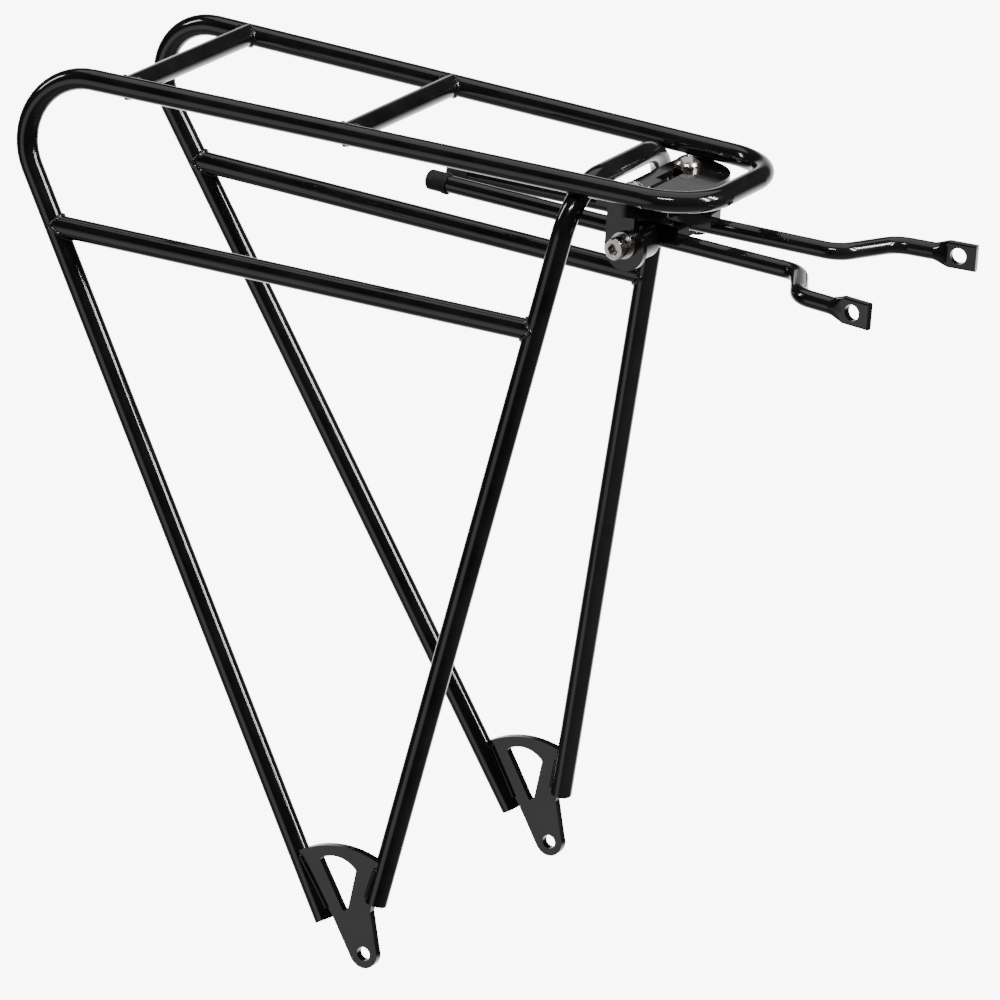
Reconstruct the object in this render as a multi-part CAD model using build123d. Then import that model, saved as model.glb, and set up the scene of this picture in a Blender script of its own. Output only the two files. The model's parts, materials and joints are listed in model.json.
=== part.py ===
from build123d import *
from math import atan2, cos, degrees, radians, sin, tan
import os

# Bicycle rear rack of welded steel tube, with two adjustable front stays.
# Frame: origin midway between the two foot eyelets, +X to the front of the
# bicycle, +Y to its left, +Z up. The rack is symmetric about the XZ plane.
# Every stay piece is modelled on the left, straight along X, turned to its
# splay about its slot bolt, and mirrored for the right.

# ---- driving dimensions, in millimetres ----
TUBE_R = 5.0            # outer radius of every frame tube
TUBE_WALL = 1.0
RAIL_Z = 369.6          # centre height of the platform tubes

CORNER_X = -242.9       # where the strut line meets the platform height
CORNER_Y = 58.8
LOOP_X = 114.1          # centre of the loop's front run
LOOP_Y = 41.6           # half width where the loop turns
REAR_BEND_R = 30.0
LOOP_BEND_R = 27.0

FOOT_Y = 88.7           # centre plane of each foot plate
STRUT_FOOT_X = -21.7    # lower end of the rear strut
STRUT_FOOT_Z = 11.0
LEG_FOOT_X = 3.6        # lower end of the front leg
LEG_FOOT_Z = 25.0

HOOP_X = 54.2           # top of the front hoop
HOOP_Y = 44.0
HOOP_Z = 367.8
HOOP_BEND_R = 26.0

REAR_BAR_X = -171.8
MIDDLE_BAR_X = -60.6
SIDE_RAIL_Z = 300.0

FOOT_PLATE_T = 4.0
EYELET_R = 3.3
EYELET_TIP_R = 6.9
WINDOW_R = 1.2          # corners of the foot plate's D opening

PLATE_T = 3.0           # slotted plate welded below the loop
PLATE_REAR_X = 64.5
PLATE_FRONT_X = 96.0
PLATE_HALF_WIDTH = 43.0
PLATE_CORNER_R = 22.0
PLATE_LIP = 3.2
PLATE_LIP_T = 2.5
SLOT_HALF_LENGTH = 36.0
SLOT_WIDTH = 6.6

BOLT_X = 74.0           # the slot and its bolts
BOLT_Y = 26.0
TILT_X = 77.0           # the tilt axis, below the plate
TILT_Z = 343.5
SPLAY = 2.86            # degrees that each stay turns out towards the front
SLIP = 0.1              # gap between flat faces that slide

BRACKET_T = 3.0
BRACKET_REAR = 10.2     # the bracket's reach behind and ahead of the tilt axis
BRACKET_FRONT = 8.6
NECK_FRONT = 4.2        # the ear's neck is cut back at its front
EAR_FACE_Y = 35.5       # outer face of the hanging ear
EAR_R = 10.2
EAR_DROP = 2.0          # the ear's round end sits this far below the tilt axis
BRACKET_INNER_Y = 18.5
BRACKET_CORNER_R = 4.0
BEND_R = 2.0
BEND_START = 1.0        # the bend starts this far inside the ear's inner face

M6_R = 3.0
M6_HOLE_R = 3.2
BUTTON_R = 5.8
BUTTON_H = 3.8
WASHER_R = 6.2
WASHER_T = 1.8
NUT_FLATS = 10.0
NUT_H = 5.0
CAP_HEAD_R = 5.0
CAP_HEAD_H = 6.0
CAP_HEAD_CHAMFER = 0.6
LOCK_WASHER_R = 5.2
LOCK_WASHER_T = 1.8
LOCK_WASHER_GAP = 0.8
LOCK_WASHER_SLANT = 25  # degrees
HEX_KEY = 5.0
HEX_DEPTH = 3.0
BUTTON_KEY = 4.0
BUTTON_KEY_DEPTH = 1.8

ROD_R = 4.0
ROD_Y = 15.0
ROD_REAR_X = -37.0
ROD_FIT = 0.05          # radial running clearance of the rod in its clamp
JOG_START = (155.7, 15.0)
JOG_END = (171.7, 43.6)
TAB_HOLE = (201.1, 46.2)
JOG_R = 12.0
TAB_T = 3.6
TAB_HEIGHT = 12.6
TAB_BACK = 11.5         # from the hole's centre to where the flat begins
TAB_FRONT = 8.4         # from the hole's centre to the tab's end
TAB_HOLE_R = 3.75
TAB_TAPER = 6.5         # length over which the round rod turns flat
TAB_CORNER_R = 1.2

BARREL_R = 9.4
EYE_R = 7.4
SADDLE_X = (60.0, 95.0)
SADDLE_TOP = 8.0        # above the tilt axis
SADDLE_CHAMFER = 1.2
CLAMP_INNER_Y = 9.6
CLAMP_STEP_Y = 19.8
SCREW_GRIP = 0.3        # gap between the screw's tip and the rod

END_CAP_R = 4.7
END_CAP_COLLAR_R = 5.1
END_CAP_LENGTH = 10.5
END_CAP_COLLAR = 2.0
END_CAP_DOME = 1.6
END_CAP_EDGE_R = 1.4

PLATE_TOP = RAIL_Z - TUBE_R
PLATE_BOTTOM = PLATE_TOP - PLATE_T
BRACKET_TOP = PLATE_BOTTOM - SLIP
BRACKET_BOTTOM = BRACKET_TOP - BRACKET_T
WASHER_SEAT_Y = EAR_FACE_Y + SLIP
LOCK_SEAT_Y = WASHER_SEAT_Y + WASHER_T
SCREW_SEAT_Y = LOCK_SEAT_Y + LOCK_WASHER_T
SCREW_TIP_Y = ROD_Y + ROD_R + SCREW_GRIP

STRUT_FOOT = (STRUT_FOOT_X, FOOT_Y, STRUT_FOOT_Z)
STRUT_TOP = (CORNER_X, CORNER_Y, RAIL_Z)
LEG_FOOT = (LEG_FOOT_X, FOOT_Y, LEG_FOOT_Z)
LEG_TOP = (HOOP_X, HOOP_Y, HOOP_Z)


def rounded_path(points, radii):
    """Straight runs joined by tangent arcs, one radius for each inner point."""
    points = [Vector(*p) for p in points]
    edges = []
    start = points[0]
    for before, corner, after, radius in zip(points, points[1:], points[2:], radii):
        towards = (before - corner).normalized()
        away = (after - corner).normalized()
        half = radians(towards.get_angle(away)) / 2
        reach = radius / tan(half)
        middle = (towards + away).normalized()
        first = corner + towards * reach
        last = corner + away * reach
        crown = corner + middle * (radius / sin(half) - radius)
        edges.append(Line(start, first))
        edges.append(ThreePointArc(first, crown, last))
        start = last
    edges.append(Line(start, points[-1]))
    return Wire([edge.edge() for edge in edges])


def bar(path, radius):
    """A solid round bar along a path."""
    section = Plane(origin=path @ 0, z_dir=path % 0) * Circle(radius)
    return sweep(section, path=path)


def straight_bar(start, end, radius):
    """A solid round bar between two points."""
    run = Vector(*end) - Vector(*start)
    return Plane(origin=start, z_dir=run) * Cylinder(
        radius, run.length, align=(Align.CENTER, Align.CENTER, Align.MIN))


def cross_cylinder(radius, x, z, y_from, y_to):
    """A cylinder along Y."""
    return straight_bar((x, y_from, z), (x, y_to, z), radius)


def hexagon(flats, height):
    """A hexagonal prism standing on the XY plane."""
    return extrude(RegularPolygon(flats / 2, 6, major_radius=False), height)


def mirrored(shape):
    return mirror(shape, about=Plane.XZ)


def save(name, shape):
    export_step(shape, f"parts/{name}.step")


def save_pair(name, left):
    """Write a left piece and its mirror image on the right."""
    save(f"{name}_left", left)
    save(f"{name}_right", mirrored(left))


# ---- welded frame ----
def main_tube_path():
    left = [STRUT_FOOT, STRUT_TOP, (LOOP_X, LOOP_Y, RAIL_Z)]
    right = [(x, -y, z) for x, y, z in reversed(left)]
    return rounded_path(left + right, [REAR_BEND_R, LOOP_BEND_R, LOOP_BEND_R, REAR_BEND_R])


def hoop_path():
    left = [LEG_FOOT, LEG_TOP]
    right = [(x, -y, z) for x, y, z in reversed(left)]
    return rounded_path(left + right, [HOOP_BEND_R, HOOP_BEND_R])


def rail_half_width(x):
    share = (x - CORNER_X) / (LOOP_X - CORNER_X)
    return CORNER_Y + (LOOP_Y - CORNER_Y) * share


def cross_bar(x, neighbour):
    """A tube between the two rails, coped to their round sides."""
    reach = rail_half_width(x)
    outside = cross_cylinder(TUBE_R, x, RAIL_Z, -reach, reach) - neighbour
    inside = cross_cylinder(TUBE_R - TUBE_WALL, x, RAIL_Z, -reach, reach)
    return outside - inside


def at_height(foot, top, height):
    """The point at a height on the straight line from foot to top."""
    run = Vector(*top) - Vector(*foot)
    return tuple(Vector(*foot) + run * ((height - foot[2]) / run.Z))


def side_rail(neighbours):
    """The lower tube of the left side, coped to the strut and the leg."""
    start = at_height(STRUT_FOOT, STRUT_TOP, SIDE_RAIL_Z)
    end = at_height(LEG_FOOT, LEG_TOP, SIDE_RAIL_Z)
    outside = straight_bar(start, end, TUBE_R)
    for neighbour in neighbours:
        outside = outside - neighbour
    return outside - straight_bar(start, end, TUBE_R - TUBE_WALL)


def foot_plate(neighbours):
    """The pressed left foot: a gusset with a D opening and an eyelet at its tip."""
    outline = [
        ThreePointArc((-37.0, 41.5), (-15.0, 48.8), (4.5, 45.5)),
        Polyline((4.5, 45.5), (2.0, 21.0), (EYELET_TIP_R, 0.5), (-5.6, -4.4), (-17.4, 14.5), (-37.0, 41.5)),
    ]
    body = make_face(Wire([edge for curve in outline for edge in curve.edges()]))
    body = body + Circle(EYELET_TIP_R)
    window = [
        ThreePointArc((-26.0, 40.4), (-15.5, 43.4), (-6.8, 39.2)),
        Polyline((-6.8, 39.2), (-9.8, 18.4), (-12.3, 18.4), (-26.0, 40.4)),
    ]
    opening = make_face(Wire([edge for curve in window for edge in curve.edges()]))
    opening = fillet(opening.vertices(), WINDOW_R)
    flat = body - opening - Circle(EYELET_R)
    plane = Plane(origin=(0, FOOT_Y + FOOT_PLATE_T / 2, 0), x_dir=(1, 0, 0), z_dir=(0, -1, 0))
    plate = extrude(plane * flat, FOOT_PLATE_T)
    for neighbour in neighbours:
        plate = plate - neighbour
    return plate.solids().sort_by(SortBy.VOLUME)[-1]


def plate_outline(inset):
    """The slotted plate's outline, with its two front corners rounded."""
    rear = PLATE_REAR_X
    front = PLATE_FRONT_X - inset
    half = PLATE_HALF_WIDTH - inset
    face = make_face(Polyline((rear, -half), (front, -half), (front, half), (rear, half), close=True))
    return fillet(face.vertices().group_by(Axis.X)[-1], PLATE_CORNER_R - inset)


def slotted_plate():
    """The flat plate below the loop, with a turned-down lip at its front."""
    flat = plate_outline(0.0)
    plate = extrude(Plane.XY.offset(PLATE_BOTTOM) * flat, PLATE_T)
    ring = flat - plate_outline(PLATE_LIP_T)
    lip = extrude(Plane.XY.offset(PLATE_BOTTOM - PLATE_LIP) * ring, PLATE_LIP)
    keep = Pos(PLATE_FRONT_X, 0, PLATE_BOTTOM) * Box(2 * PLATE_CORNER_R, 200, 4 * PLATE_LIP)
    slot = SlotOverall(2 * SLOT_HALF_LENGTH, SLOT_WIDTH, rotation=90)
    slot = extrude(Pos(BOLT_X, 0, PLATE_BOTTOM - 1) * slot, PLATE_T + 2)
    return plate + (lip & keep) - slot


# ---- stays, modelled on the left ----
def splayed(shape):
    """Turn a stay piece out to its splay, about its slot bolt."""
    turn = Pos(BOLT_X, BOLT_Y, 0) * Rot(0, 0, SPLAY) * Pos(-BOLT_X, -BOLT_Y, 0)
    return turn * shape


def slot_bolt():
    """A button-head bolt standing in the slot, with a hex socket."""
    seat = PLATE_TOP + WASHER_T
    dome_r = (BUTTON_R ** 2 + BUTTON_H ** 2) / (2 * BUTTON_H)
    dome = Pos(0, 0, seat + BUTTON_H - dome_r) * Sphere(dome_r)
    head = dome & Pos(0, 0, seat) * Cylinder(
        BUTTON_R, BUTTON_H, align=(Align.CENTER, Align.CENTER, Align.MIN))
    shank_end = BRACKET_BOTTOM - NUT_H
    shank = Pos(0, 0, shank_end) * Cylinder(
        M6_R, seat - shank_end, align=(Align.CENTER, Align.CENTER, Align.MIN))
    socket = Pos(0, 0, seat + BUTTON_H - BUTTON_KEY_DEPTH) * hexagon(BUTTON_KEY, BUTTON_H)
    return Pos(BOLT_X, BOLT_Y, 0) * (head + shank - socket)


def ring_on_bolt(outer, height, bottom):
    ring = Cylinder(outer, height, align=(Align.CENTER, Align.CENTER, Align.MIN))
    hole = Cylinder(M6_HOLE_R, height, align=(Align.CENTER, Align.CENTER, Align.MIN))
    return Pos(BOLT_X, BOLT_Y, bottom) * (ring - hole)


def slot_nut():
    """The hexagonal nut below the bracket."""
    bottom = BRACKET_BOTTOM - NUT_H
    nut = Pos(0, 0, bottom) * hexagon(NUT_FLATS, NUT_H - SLIP / 2)
    hole = Pos(0, 0, bottom) * Cylinder(M6_R, NUT_H, align=(Align.CENTER, Align.CENTER, Align.MIN))
    return Pos(BOLT_X, BOLT_Y, 0) * (nut - hole)


def stay_bracket():
    """An angle bracket: a leg under the plate and an ear that hangs down."""
    ear_inner_y = EAR_FACE_Y - BRACKET_T
    ear_centre = TILT_Z - EAR_DROP
    bend_y = ear_inner_y - BEND_START
    leg = Box(BRACKET_REAR + BRACKET_FRONT, bend_y - BRACKET_INNER_Y, BRACKET_T, align=Align.MIN)
    leg = Pos(TILT_X - BRACKET_REAR, BRACKET_INNER_Y, BRACKET_BOTTOM) * leg
    leg = fillet(leg.edges().filter_by(Axis.Z).group_by(Axis.Y)[0], BRACKET_CORNER_R)
    neck_width = BRACKET_REAR + NECK_FRONT
    bend = Box(neck_width, BRACKET_T + BEND_START, BRACKET_T, align=Align.MIN)
    bend = Pos(TILT_X - BRACKET_REAR, bend_y, BRACKET_BOTTOM) * bend
    neck = Box(neck_width, BRACKET_T, BRACKET_TOP - ear_centre, align=Align.MIN)
    neck = Pos(TILT_X - BRACKET_REAR, ear_inner_y, ear_centre) * neck
    upright = bend + neck
    outer_corner = upright.edges().filter_by(Axis.X).sort_by(lambda e: e.center().Y + e.center().Z)[-1]
    upright = fillet(outer_corner, BEND_R)
    lobe = cross_cylinder(EAR_R, TILT_X, ear_centre, ear_inner_y, EAR_FACE_Y)
    bracket = leg + upright + lobe
    bolt_hole = Pos(BOLT_X, BOLT_Y, BRACKET_BOTTOM) * Cylinder(M6_HOLE_R, 3 * BRACKET_T)
    screw_hole = cross_cylinder(M6_HOLE_R, TILT_X, TILT_Z, ear_inner_y - 1, EAR_FACE_Y + 1)
    return bracket - bolt_hole - screw_hole


def clamp_screw():
    """A socket-head cap screw along Y that presses on the rod."""
    head = cross_cylinder(CAP_HEAD_R, TILT_X, TILT_Z, SCREW_SEAT_Y, SCREW_SEAT_Y + CAP_HEAD_H)
    head = chamfer(head.faces().sort_by(Axis.Y)[-1].edges(), CAP_HEAD_CHAMFER)
    shank = cross_cylinder(M6_R, TILT_X, TILT_Z, SCREW_TIP_Y, SCREW_SEAT_Y)
    face = Plane(origin=(TILT_X, SCREW_SEAT_Y + CAP_HEAD_H - HEX_DEPTH, TILT_Z),
                 x_dir=(1, 0, 0), z_dir=(0, 1, 0))
    return head + shank - face * hexagon(HEX_KEY, HEX_DEPTH + 1)


def ring_on_screw(outer, y_from, thickness):
    ring = cross_cylinder(outer, TILT_X, TILT_Z, y_from, y_from + thickness)
    return ring - cross_cylinder(M6_HOLE_R, TILT_X, TILT_Z, y_from - 1, y_from + thickness + 1)


def lock_washer():
    """A split spring washer under the screw's head."""
    ring = ring_on_screw(LOCK_WASHER_R, LOCK_SEAT_Y, LOCK_WASHER_T)
    gap = Rot(LOCK_WASHER_SLANT, 0, 0) * Box(LOCK_WASHER_R, 4 * LOCK_WASHER_T, LOCK_WASHER_GAP)
    return ring - Pos(TILT_X + LOCK_WASHER_R, LOCK_SEAT_Y, TILT_Z) * gap


def stay_clamp():
    """The tilting clamp: a barrel on the ear, an eye round the rod and a saddle."""
    barrel_end = EAR_FACE_Y - BRACKET_T - SLIP
    barrel = cross_cylinder(BARREL_R, TILT_X, TILT_Z, CLAMP_STEP_Y, barrel_end)
    eye = cross_cylinder(EYE_R, TILT_X, TILT_Z, CLAMP_INNER_Y, CLAMP_STEP_Y)
    length = SADDLE_X[1] - SADDLE_X[0]
    saddle = Box(length, CLAMP_STEP_Y - CLAMP_INNER_Y, SADDLE_TOP, align=Align.MIN)
    saddle = Pos(SADDLE_X[0], CLAMP_INNER_Y, TILT_Z) * saddle
    saddle = chamfer(saddle.faces().sort_by(Axis.Z)[-1].edges(), SADDLE_CHAMFER)
    bore = straight_bar((SADDLE_X[0] - 1, ROD_Y, TILT_Z), (SADDLE_X[1] + 1, ROD_Y, TILT_Z), ROD_R + ROD_FIT)
    thread = cross_cylinder(M6_R, TILT_X, TILT_Z, ROD_Y, barrel_end + 1)
    return barrel + eye + saddle - bore - thread


def stay_rod():
    """A solid round rod, jogged outwards and flattened to a drilled tab."""
    start = (ROD_REAR_X, ROD_Y, TILT_Z)
    jog_start = (*JOG_START, TILT_Z)
    jog_end = (*JOG_END, TILT_Z)
    hole = Vector(*TAB_HOLE, TILT_Z)
    run = (hole - Vector(*jog_end)).normalized()
    flat_start = hole - run * TAB_BACK
    path = rounded_path([start, jog_start, jog_end, tuple(flat_start)], [JOG_R, JOG_R])
    rod = bar(path, ROD_R)
    across = Plane(origin=flat_start, x_dir=(0, 0, 1), z_dir=run)
    section = across.offset(TAB_TAPER) * RectangleRounded(TAB_HEIGHT, TAB_T, TAB_CORNER_R)
    taper = loft([across * Circle(ROD_R), section])
    tab = extrude(section, TAB_BACK + TAB_FRONT - TAB_TAPER)
    side = Plane(origin=hole, x_dir=run, z_dir=Vector(0, 0, 1).cross(run))
    drill = side * Cylinder(TAB_HOLE_R, 4 * TAB_T)
    return rod + taper + tab - drill


def end_cap():
    """The soft cap on the rod's rear end, with a collar at its mouth."""
    rear = ROD_REAR_X - END_CAP_DOME
    sleeve = straight_bar((rear, ROD_Y, TILT_Z), (rear + END_CAP_LENGTH, ROD_Y, TILT_Z), END_CAP_R)
    sleeve = fillet(sleeve.faces().sort_by(Axis.X)[0].edges(), END_CAP_EDGE_R)
    collar_start = rear + END_CAP_LENGTH - END_CAP_COLLAR
    collar = straight_bar(
        (collar_start, ROD_Y, TILT_Z), (rear + END_CAP_LENGTH, ROD_Y, TILT_Z), END_CAP_COLLAR_R)
    bore = straight_bar(
        (ROD_REAR_X, ROD_Y, TILT_Z), (rear + END_CAP_LENGTH + 1, ROD_Y, TILT_Z), ROD_R)
    return sleeve + collar - bore


def build():
    os.makedirs("parts", exist_ok=True)
    main_path = main_tube_path()
    main_solid = bar(main_path, TUBE_R)
    main_bore = bar(main_path, TUBE_R - TUBE_WALL)
    leg_path = hoop_path()
    hoop_solid = bar(leg_path, TUBE_R)
    hoop_bore = bar(leg_path, TUBE_R - TUBE_WALL)

    save("main_tube", main_solid - main_bore)
    save("front_hoop", hoop_solid - hoop_bore - main_solid)
    save("rear_crossbar", cross_bar(REAR_BAR_X, main_solid))
    save("middle_crossbar", cross_bar(MIDDLE_BAR_X, main_solid))
    save_pair("side_rail", side_rail([main_solid, hoop_solid]))
    save_pair("foot_plate", foot_plate([main_solid, hoop_solid]))
    save("slotted_plate", slotted_plate() - main_solid)

    save_pair("slot_bolt", slot_bolt())
    save_pair("slot_washer", ring_on_bolt(WASHER_R, WASHER_T, PLATE_TOP))
    save_pair("slot_nut", slot_nut())
    save_pair("stay_bracket", splayed(stay_bracket()))
    save_pair("stay_clamp", splayed(stay_clamp()))
    save_pair("clamp_screw", splayed(clamp_screw()))
    save_pair("clamp_washer", splayed(ring_on_screw(WASHER_R, WASHER_SEAT_Y, WASHER_T)))
    save_pair("clamp_lock_washer", splayed(lock_washer()))
    save_pair("stay_rod", splayed(stay_rod()))
    save_pair("stay_end_cap", splayed(end_cap()))


build()
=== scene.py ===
import json
from math import cos, pi, radians, sin, sqrt

import bmesh
import bpy
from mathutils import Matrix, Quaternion, Vector


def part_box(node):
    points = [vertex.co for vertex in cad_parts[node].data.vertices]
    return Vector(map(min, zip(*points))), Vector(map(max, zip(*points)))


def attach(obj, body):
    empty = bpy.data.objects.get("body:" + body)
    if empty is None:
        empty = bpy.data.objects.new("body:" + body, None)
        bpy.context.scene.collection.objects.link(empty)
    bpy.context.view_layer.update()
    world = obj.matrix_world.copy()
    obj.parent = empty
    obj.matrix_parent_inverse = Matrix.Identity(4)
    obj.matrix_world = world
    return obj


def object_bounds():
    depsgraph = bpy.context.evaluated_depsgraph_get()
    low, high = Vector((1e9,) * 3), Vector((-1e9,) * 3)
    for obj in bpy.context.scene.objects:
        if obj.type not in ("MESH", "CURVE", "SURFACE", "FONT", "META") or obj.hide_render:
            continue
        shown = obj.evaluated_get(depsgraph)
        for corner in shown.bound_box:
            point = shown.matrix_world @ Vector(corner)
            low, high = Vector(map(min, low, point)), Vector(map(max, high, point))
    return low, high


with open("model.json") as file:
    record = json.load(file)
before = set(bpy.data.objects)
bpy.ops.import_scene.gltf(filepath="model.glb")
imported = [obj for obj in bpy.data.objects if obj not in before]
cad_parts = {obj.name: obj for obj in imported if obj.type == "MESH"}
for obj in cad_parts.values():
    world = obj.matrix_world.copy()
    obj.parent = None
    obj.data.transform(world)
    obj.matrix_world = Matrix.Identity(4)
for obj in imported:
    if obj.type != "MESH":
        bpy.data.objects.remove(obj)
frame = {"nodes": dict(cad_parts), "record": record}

loaded_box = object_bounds()

# A bicycle rear rack in gloss black: the materials of the CAD nodes, the weld
# beads of the frame's joints, and a studio round it. Lengths are in metres.

MM = 0.001

# ---- driving dimensions, the same as the part's ----
TUBE_R = 5.0 * MM
SIDE_RAIL_Z = 300.0 * MM
PLATE_T = 4.0 * MM
FOOT_Y = 88.7 * MM
STRUT_FOOT = Vector((-21.7, 88.7, 11.0)) * MM
STRUT_TOP = Vector((-242.9, 58.8, 369.6)) * MM
RAIL_FRONT = Vector((114.1, 41.6, 369.6)) * MM
LEG_FOOT = Vector((3.6, 88.7, 25.0)) * MM
LEG_TOP = Vector((54.2, 44.0, 367.8)) * MM

PLATFORM_TOP = loaded_box[1][2]
SIDES = {"left": 1, "right": -1}

# ---- weld beads ----
STRUT_WELD_Z = (15.0 * MM, 38.0 * MM)   # heights where the strut's beads on a foot plate end
LEG_WELD_Z = (27.0 * MM, 42.0 * MM)     # and the leg's
BEAD_R = 0.95 * MM          # a weld bead's radius
BEAD_LIFT = 0.1             # of its radius, off the corner that it fills
BEAD_SWELL = 0.22           # of its radius, at each ripple
BEAD_PITCH = 1.5 * MM       # from one ripple of a bead to the next
BEAD_LEAST_RIPPLES = 6
BEAD_STEPS = 96             # along a bead that closes round a bar
BEAD_PLATE_STEPS = 48       # along a bead on a foot plate
BEAD_SIDES = 12

# ---- how large the marks of each material are, and how deep its grain is ----
TONE_SIZE = 18 * MM         # enamel
HAZE_SIZE = 7 * MM
PEEL_SIZE = 1.8 * MM
PEEL_DEPTH = 0.012 * MM
PEEL_STRENGTH = 0.12
COAT_WEIGHT = 0.6
COAT_ROUGHNESS = 0.06

TURNING_SIZE = 0.5 * MM     # stainless steel
TURNING_STRETCH = (1.0, 1.0, 0.15)
TURNING_DEPTH = 0.02 * MM
TURNING_STRENGTH = 0.25
SMEAR_SIZE = 2.0 * MM

BLOOM_SIZE = 2.5 * MM       # rubber
GRAIN_SIZE = 0.35 * MM
GRAIN_DEPTH = 0.04 * MM
GRAIN_STRENGTH = 0.5

MOTTLE_SIZE = 0.4           # the floor's paper
PAPER_ROUGHNESS = 0.9


# ---- materials ----
class Nodes:
    """A material's node tree, with short calls for the nodes used here."""

    def __init__(self, name):
        self.material = bpy.data.materials.new(name)
        self.material.use_nodes = True
        self.tree = self.material.node_tree
        self.shader = self.tree.nodes["Principled BSDF"]
        self.place = self.tree.nodes.new("ShaderNodeTexCoord").outputs["Object"]

    def link(self, output, target):
        """Join an output to an input."""
        self.tree.links.new(output, target)

    def noise(self, size, detail=3.0, stretch=(1.0, 1.0, 1.0)):
        """Noise whose features are about size across."""
        mapping = self.tree.nodes.new("ShaderNodeMapping")
        mapping.inputs["Scale"].default_value = stretch
        self.link(self.place, mapping.inputs["Vector"])
        noise = self.tree.nodes.new("ShaderNodeTexNoise")
        noise.inputs["Scale"].default_value = 1.0 / size
        noise.inputs["Detail"].default_value = detail
        self.link(mapping.outputs["Vector"], noise.inputs["Vector"])
        return noise.outputs["Fac"]

    def between(self, factor, low, high, span=(0.3, 0.7)):
        """A value that runs from low to high as the factor crosses the span."""
        ranged = self.tree.nodes.new("ShaderNodeMapRange")
        ranged.inputs["From Min"].default_value = span[0]
        ranged.inputs["From Max"].default_value = span[1]
        ranged.inputs["To Min"].default_value = low
        ranged.inputs["To Max"].default_value = high
        self.link(factor, ranged.inputs["Value"])
        return ranged.outputs["Result"]

    def colours(self, factor, stops):
        """A colour ramp from two (place, colour) stops."""
        ramp = self.tree.nodes.new("ShaderNodeValToRGB")
        for element, (place, colour) in zip(ramp.color_ramp.elements, stops):
            element.position = place
            element.color = (*colour, 1.0)
        self.link(factor, ramp.inputs["Fac"])
        return ramp.outputs["Color"]

    def bump(self, height, distance, strength):
        """Raise the surface by the height, up to the distance."""
        bump = self.tree.nodes.new("ShaderNodeBump")
        bump.inputs["Strength"].default_value = strength
        bump.inputs["Distance"].default_value = distance
        self.link(height, bump.inputs["Height"])
        self.link(bump.outputs["Normal"], self.shader.inputs["Normal"])


def enamel(name, dark, light, roughness):
    """Sprayed and baked gloss paint: a faint orange peel under a clear skin."""
    paint = Nodes(name)
    shader = paint.shader
    tone = paint.noise(TONE_SIZE, 4.0)
    paint.link(paint.colours(tone, [(0.35, dark), (0.65, light)]), shader.inputs["Base Color"])
    haze = paint.noise(HAZE_SIZE, 5.0)
    paint.link(paint.between(haze, *roughness), shader.inputs["Roughness"])
    paint.bump(paint.noise(PEEL_SIZE, 1.0), PEEL_DEPTH, PEEL_STRENGTH)
    shader.inputs["Specular IOR Level"].default_value = 0.5
    shader.inputs["Coat Weight"].default_value = COAT_WEIGHT
    shader.inputs["Coat Roughness"].default_value = COAT_ROUGHNESS
    return paint.material


def stainless(name, dark, light, roughness):
    """Turned stainless steel, with fine marks along one direction."""
    steel = Nodes(name)
    shader = steel.shader
    marks = steel.noise(TURNING_SIZE, 4.0, TURNING_STRETCH)
    steel.link(steel.colours(marks, [(0.3, dark), (0.7, light)]), shader.inputs["Base Color"])
    smears = steel.noise(SMEAR_SIZE, 4.0)
    steel.link(steel.between(smears, *roughness), shader.inputs["Roughness"])
    steel.bump(marks, TURNING_DEPTH, TURNING_STRENGTH)
    shader.inputs["Metallic"].default_value = 1.0
    return steel.material


def moulded_rubber(name, dark, light, roughness):
    """Soft black cap material with a fine moulded grain."""
    rubber = Nodes(name)
    shader = rubber.shader
    bloom = rubber.noise(BLOOM_SIZE, 4.0)
    rubber.link(rubber.colours(bloom, [(0.3, dark), (0.7, light)]), shader.inputs["Base Color"])
    rubber.link(rubber.between(bloom, *roughness), shader.inputs["Roughness"])
    rubber.bump(rubber.noise(GRAIN_SIZE, 2.0), GRAIN_DEPTH, GRAIN_STRENGTH)
    return rubber.material


def lit_paper(name, dark, light, strength):
    """White paper lit from behind, for the floor."""
    paper = Nodes(name)
    shader = paper.shader
    tone = paper.noise(MOTTLE_SIZE, 3.0)
    paper.link(paper.colours(tone, [(0.3, dark), (0.7, light)]), shader.inputs["Emission Color"])
    shader.inputs["Base Color"].default_value = (0.9, 0.9, 0.9, 1.0)
    shader.inputs["Roughness"].default_value = PAPER_ROUGHNESS
    shader.inputs["Emission Strength"].default_value = strength
    return paper.material


MATERIALS = {
    "frame_enamel": enamel(
        "frame_enamel", (0.006, 0.006, 0.007), (0.014, 0.013, 0.014), (0.09, 0.17)),
    "bracket_enamel": enamel(
        "bracket_enamel", (0.004, 0.004, 0.005), (0.01, 0.01, 0.011), (0.09, 0.16)),
    "stay_enamel": enamel(
        "stay_enamel", (0.006, 0.006, 0.007), (0.015, 0.014, 0.014), (0.09, 0.17)),
    "stainless": stainless(
        "stainless", (0.55, 0.52, 0.48), (0.82, 0.79, 0.73), (0.16, 0.3)),
    "cap_rubber": moulded_rubber(
        "cap_rubber", (0.009, 0.009, 0.009), (0.026, 0.025, 0.024), (0.52, 0.72)),
}


def paint_frame():
    """Give each CAD node the material of its slot."""
    for subpart in frame["record"]["subparts"]:
        for place in frame["nodes"][subpart["node"]].material_slots:
            place.material = MATERIALS[subpart["material_slot"]]


def new_object(name, mesh, material):
    """A mesh object in the scene, from a bmesh that isn't needed afterwards."""
    data = bpy.data.meshes.new(name)
    mesh.to_mesh(data)
    mesh.free()
    data.materials.append(material)
    made = bpy.data.objects.new(name, data)
    bpy.context.scene.collection.objects.link(made)
    return made


# ---- weld beads ----
def at_height(foot, top, height):
    """The point at a height on the line from foot to top."""
    return foot.lerp(top, (height - foot.z) / (top.z - foot.z))


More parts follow.
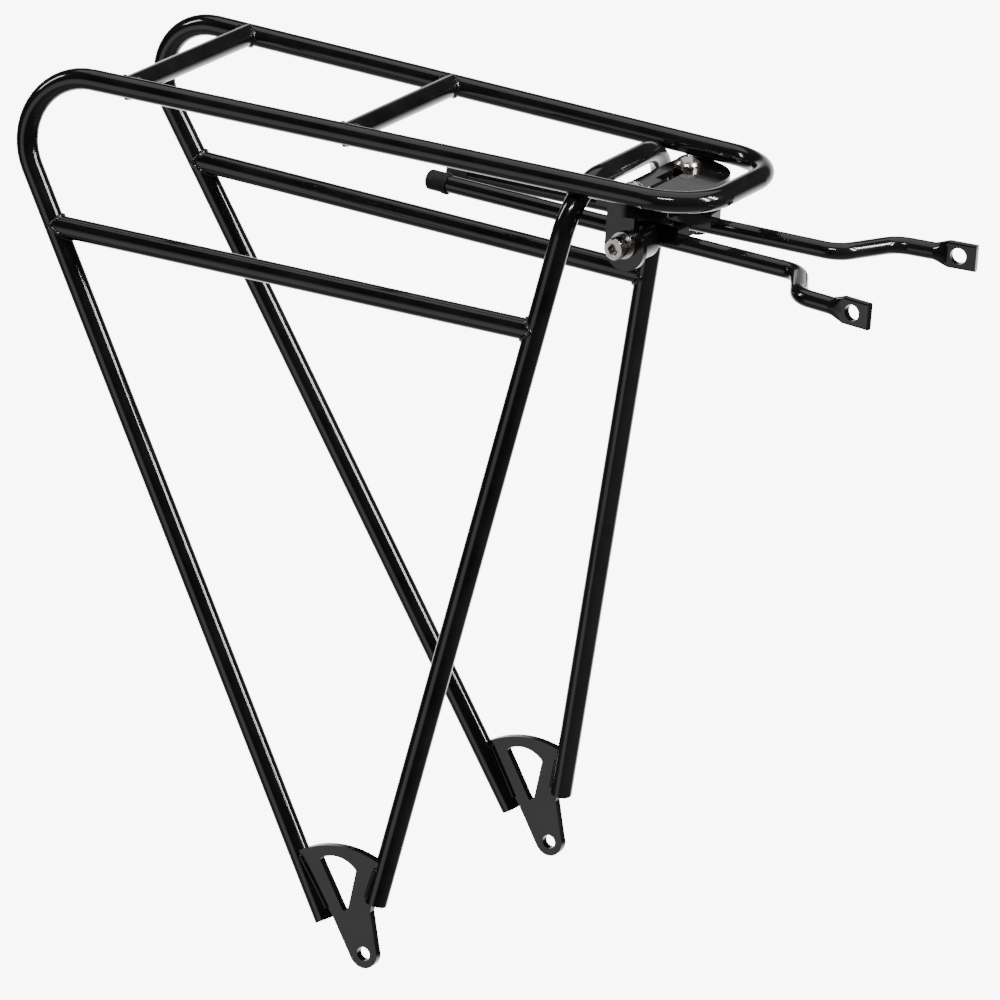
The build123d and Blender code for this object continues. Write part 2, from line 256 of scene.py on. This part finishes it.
def mirrored(point, side):
    """The point on the given side, from the one on the left."""
    return Vector((point.x, SIDES[side] * point.y, point.z))


def seam(end, along, tube_along):
    """Where a round bar's end meets a tube of the same size: places and outward directions."""
    across = along.orthogonal().normalized()
    other = along.cross(across)
    run = along - tube_along * along.dot(tube_along)
    places = []
    for step in range(BEAD_STEPS):
        angle = 2 * pi * step / BEAD_STEPS
        radial = across * cos(angle) + other * sin(angle)
        flat = radial * TUBE_R
        flat -= tube_along * flat.dot(tube_along)
        lean = flat.dot(run)
        short = flat.length_squared - TUBE_R ** 2
        root = sqrt(max(lean * lean - run.length_squared * short, 0.0))
        reach = (-lean + root) / run.length_squared
        tube_out = (flat + run * reach).normalized()
        place = end + radial * TUBE_R + along * reach
        places.append((place, (radial + tube_out).normalized()))
    return places


def plate_seam(foot, top, heights, sign, face, towards):
    """Where a tube's side meets one face of a foot plate, from one height to another."""
    face_y = sign * FOOT_Y + face * PLATE_T / 2
    run = top - foot
    across = Vector((run.z, 0.0, -run.x)).normalized() * towards
    outwards = (across + Vector((0.0, face, 0.0))).normalized()
    places = []
    for step in range(BEAD_PLATE_STEPS):
        share = step / (BEAD_PLATE_STEPS - 1)
        point = at_height(foot, top, heights[0] + (heights[1] - heights[0]) * share)
        depth = face_y - sign * point.y
        reach = sqrt(max(TUBE_R ** 2 - depth ** 2, 0.0))
        place = Vector((point.x, face_y, point.z)) + across * reach
        places.append((place, outwards))
    return places


def bead(name, places, closed=True):
    """A weld bead along the places, with the ripples of its stacked pools."""
    points = [place + outwards * BEAD_R * BEAD_LIFT for place, outwards in places]
    for point in points:                # ground flush on top of the platform
        point.z = min(point.z, PLATFORM_TOP - BEAD_R * (1.0 + BEAD_SWELL))
    count = len(points)
    length = sum((points[i] - points[i - 1]).length for i in range(1, count))
    ripples = max(BEAD_LEAST_RIPPLES, round(length / BEAD_PITCH))
    mesh = bmesh.new()
    rings = []
    for i, (_, outwards) in enumerate(places):
        after, before = (i + 1) % count, i - 1
        if not closed:
            after, before = min(i + 1, count - 1), max(i - 1, 0)
        ahead = (points[after] - points[before]).normalized()
        up = (outwards - ahead * outwards.dot(ahead)).normalized()
        side = ahead.cross(up)
        swell = BEAD_R * (1.0 + BEAD_SWELL * abs(sin(pi * ripples * i / count)))
        ring = []
        for step in range(BEAD_SIDES):
            angle = 2 * pi * step / BEAD_SIDES
            spoke = up * cos(angle) + side * sin(angle)
            ring.append(mesh.verts.new(points[i] + spoke * swell))
        rings.append(ring)
    if not closed:
        mesh.faces.new(rings[0])
        mesh.faces.new(rings[-1])
    for i in range(0 if closed else 1, count):
        here, there = rings[i - 1], rings[i]
        for step in range(BEAD_SIDES):
            after = (step + 1) % BEAD_SIDES
            mesh.faces.new((here[step], here[after], there[after], there[step]))
    bmesh.ops.recalc_face_normals(mesh, faces=mesh.faces)
    for face in mesh.faces:
        face.smooth = True
    piece = new_object(name, mesh, MATERIALS["frame_enamel"])
    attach(piece, "rack_frame")


def frame_welds():
    """The beads of the frame's joints, on both sides."""
    strut_point = at_height(STRUT_FOOT, STRUT_TOP, SIDE_RAIL_Z)
    leg_point = at_height(LEG_FOOT, LEG_TOP, SIDE_RAIL_Z)
    for side, sign in SIDES.items():
        rail = (mirrored(RAIL_FRONT, side) - mirrored(STRUT_TOP, side)).normalized()
        for bar in ("rear_crossbar", "middle_crossbar"):
            low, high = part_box(bar)
            middle = (low + high) / 2
            share = (middle.x - STRUT_TOP.x) / (RAIL_FRONT.x - STRUT_TOP.x)
            end = mirrored(STRUT_TOP.lerp(RAIL_FRONT, share), side)
            bead(f"{bar}_weld_{side}", seam(end, Vector((0, -sign, 0)), rail))
        strut = (mirrored(STRUT_TOP, side) - mirrored(STRUT_FOOT, side)).normalized()
        leg = (mirrored(LEG_TOP, side) - mirrored(LEG_FOOT, side)).normalized()
        rear = mirrored(strut_point, side)
        front = mirrored(leg_point, side)
        along = (front - rear).normalized()
        bead(f"side_rail_rear_weld_{side}", seam(rear, along, strut))
        bead(f"side_rail_front_weld_{side}", seam(front, -along, leg))
        for face, where in ((1, "far"), (-1, "near")):
            strut_seam = plate_seam(STRUT_FOOT, STRUT_TOP, STRUT_WELD_Z, sign, face, 1)
            leg_seam = plate_seam(LEG_FOOT, LEG_TOP, LEG_WELD_Z, sign, face, -1)
            bead(f"foot_strut_weld_{where}_{side}", strut_seam, closed=False)
            bead(f"foot_leg_weld_{where}_{side}", leg_seam, closed=False)


# ---- camera, light and floor ----
CAMERA_TARGET = Vector((0.005, 0.001, 0.196))
CAMERA_DISTANCE = 4.363
CAMERA_AZIMUTH = radians(27.4)      # from -Y towards +X
CAMERA_ELEVATION = radians(19.33)
CAMERA_ROLL = radians(4.31)
CAMERA_LENS = 343.7                 # mm, on a sensor this many mm wide
CAMERA_SENSOR = 36.0
CAMERA_REACH = 50.0

LIGHT_AIM = Vector((0.0, 0.0, 0.25))
SOFTBOXES = [                       # name, place, width and height, watts
    ("overhead", (-0.2, 0.3, 2.6), (3.0, 3.0), 22.0),
    ("front_strip_a", (2.59, 0.1, 1.75), (0.2, 1.5), 45.0),
    ("front_strip_b", (2.49, 0.8, 1.75), (0.2, 1.5), 45.0),
    ("rear_strip", (-2.4, -0.9, 1.5), (0.3, 1.0), 16.0),
    ("near_strip", (0.9, -2.4, 2.6), (1.2, 0.16), 40.0),
]

ROOM_DARK = 0.02
ROOM_GLOW = [                       # direction, where the glow starts and is full, strength
    ((-0.3, 0.8, -0.5), 0.6, 0.95, 2.2),
    ((0.0, 0.0, -1.0), 0.3, 0.9, 0.25),
    ((-0.43, -0.84, -0.33), 0.88, 0.97, 0.7),
]

FLOOR_HALF_SIZE = 12.0
FLOOR_CELLS = 8
FLOOR_GAP = 0.5 * MM                # below the lowest point of the rack
FLOOR_GLOW = 8.0


def camera():
    """Aim the camera at the rack's side, from above and a little from its front."""
    data = bpy.data.cameras.new("camera")
    data.lens = CAMERA_LENS
    data.sensor_width = CAMERA_SENSOR
    data.clip_end = CAMERA_REACH
    flat = cos(CAMERA_ELEVATION)
    away = Vector((sin(CAMERA_AZIMUTH) * flat, -cos(CAMERA_AZIMUTH) * flat, sin(CAMERA_ELEVATION)))
    place = bpy.data.objects.new("camera", data)
    place.rotation_mode = "QUATERNION"
    place.location = CAMERA_TARGET + away * CAMERA_DISTANCE
    roll = Quaternion((0, 0, 1), CAMERA_ROLL)
    place.rotation_quaternion = (-away).to_track_quat("-Z", "Y") @ roll
    bpy.context.scene.collection.objects.link(place)
    bpy.context.scene.camera = place


def softbox(name, location, size, power):
    """A rectangular lamp that faces the rack."""
    data = bpy.data.lights.new(name, "AREA")
    data.shape = "RECTANGLE"
    data.size, data.size_y = size
    data.energy = power
    lamp = bpy.data.objects.new(name, data)
    lamp.location = location
    lamp.rotation_mode = "QUATERNION"
    lamp.rotation_quaternion = (Vector(location) - LIGHT_AIM).to_track_quat("Z", "Y")
    bpy.context.scene.collection.objects.link(lamp)


def studio():
    """Soft boxes above and beside the rack, in a dim room."""
    for box in SOFTBOXES:
        softbox(*box)
    bpy.context.scene.world = dim_room("dim_room")


def dim_room(name):
    """A dark room that brightens in the directions of ROOM_GLOW."""
    world = bpy.data.worlds.new(name)
    world.use_nodes = True
    tree = world.node_tree
    direction = tree.nodes.new("ShaderNodeTexCoord").outputs["Generated"]
    light = None
    for towards, low, high, strength in ROOM_GLOW:
        facing = tree.nodes.new("ShaderNodeVectorMath")
        facing.operation = "DOT_PRODUCT"
        facing.inputs[1].default_value = towards
        tree.links.new(direction, facing.inputs[0])
        glow = tree.nodes.new("ShaderNodeMapRange")
        glow.inputs["From Min"].default_value = low
        glow.inputs["From Max"].default_value = high
        glow.inputs["To Min"].default_value = ROOM_DARK
        glow.inputs["To Max"].default_value = strength
        tree.links.new(facing.outputs["Value"], glow.inputs["Value"])
        if light is None:
            light = glow.outputs["Result"]
            continue
        brighter = tree.nodes.new("ShaderNodeMath")
        brighter.operation = "MAXIMUM"
        tree.links.new(light, brighter.inputs[0])
        tree.links.new(glow.outputs["Result"], brighter.inputs[1])
        light = brighter.outputs["Value"]
    backdrop = tree.nodes["Background"]
    backdrop.inputs["Color"].default_value = (1.0, 1.0, 1.0, 1.0)
    tree.links.new(light, backdrop.inputs["Strength"])
    return world


def floor():
    """Bright paper just below the rack. The rack's paint doesn't reflect it."""
    mesh = bmesh.new()
    bmesh.ops.create_grid(
        mesh, x_segments=FLOOR_CELLS, y_segments=FLOOR_CELLS, size=FLOOR_HALF_SIZE)
    paper = lit_paper("floor", (0.98, 0.98, 0.98), (1.0, 1.0, 1.0), FLOOR_GLOW)
    ground = new_object("floor", mesh, paper)
    ground.location.z = loaded_box[0][2] - FLOOR_GAP
    ground.visible_glossy = False
    ground.visible_diffuse = False


paint_frame()
frame_welds()
camera()
studio()
floor()
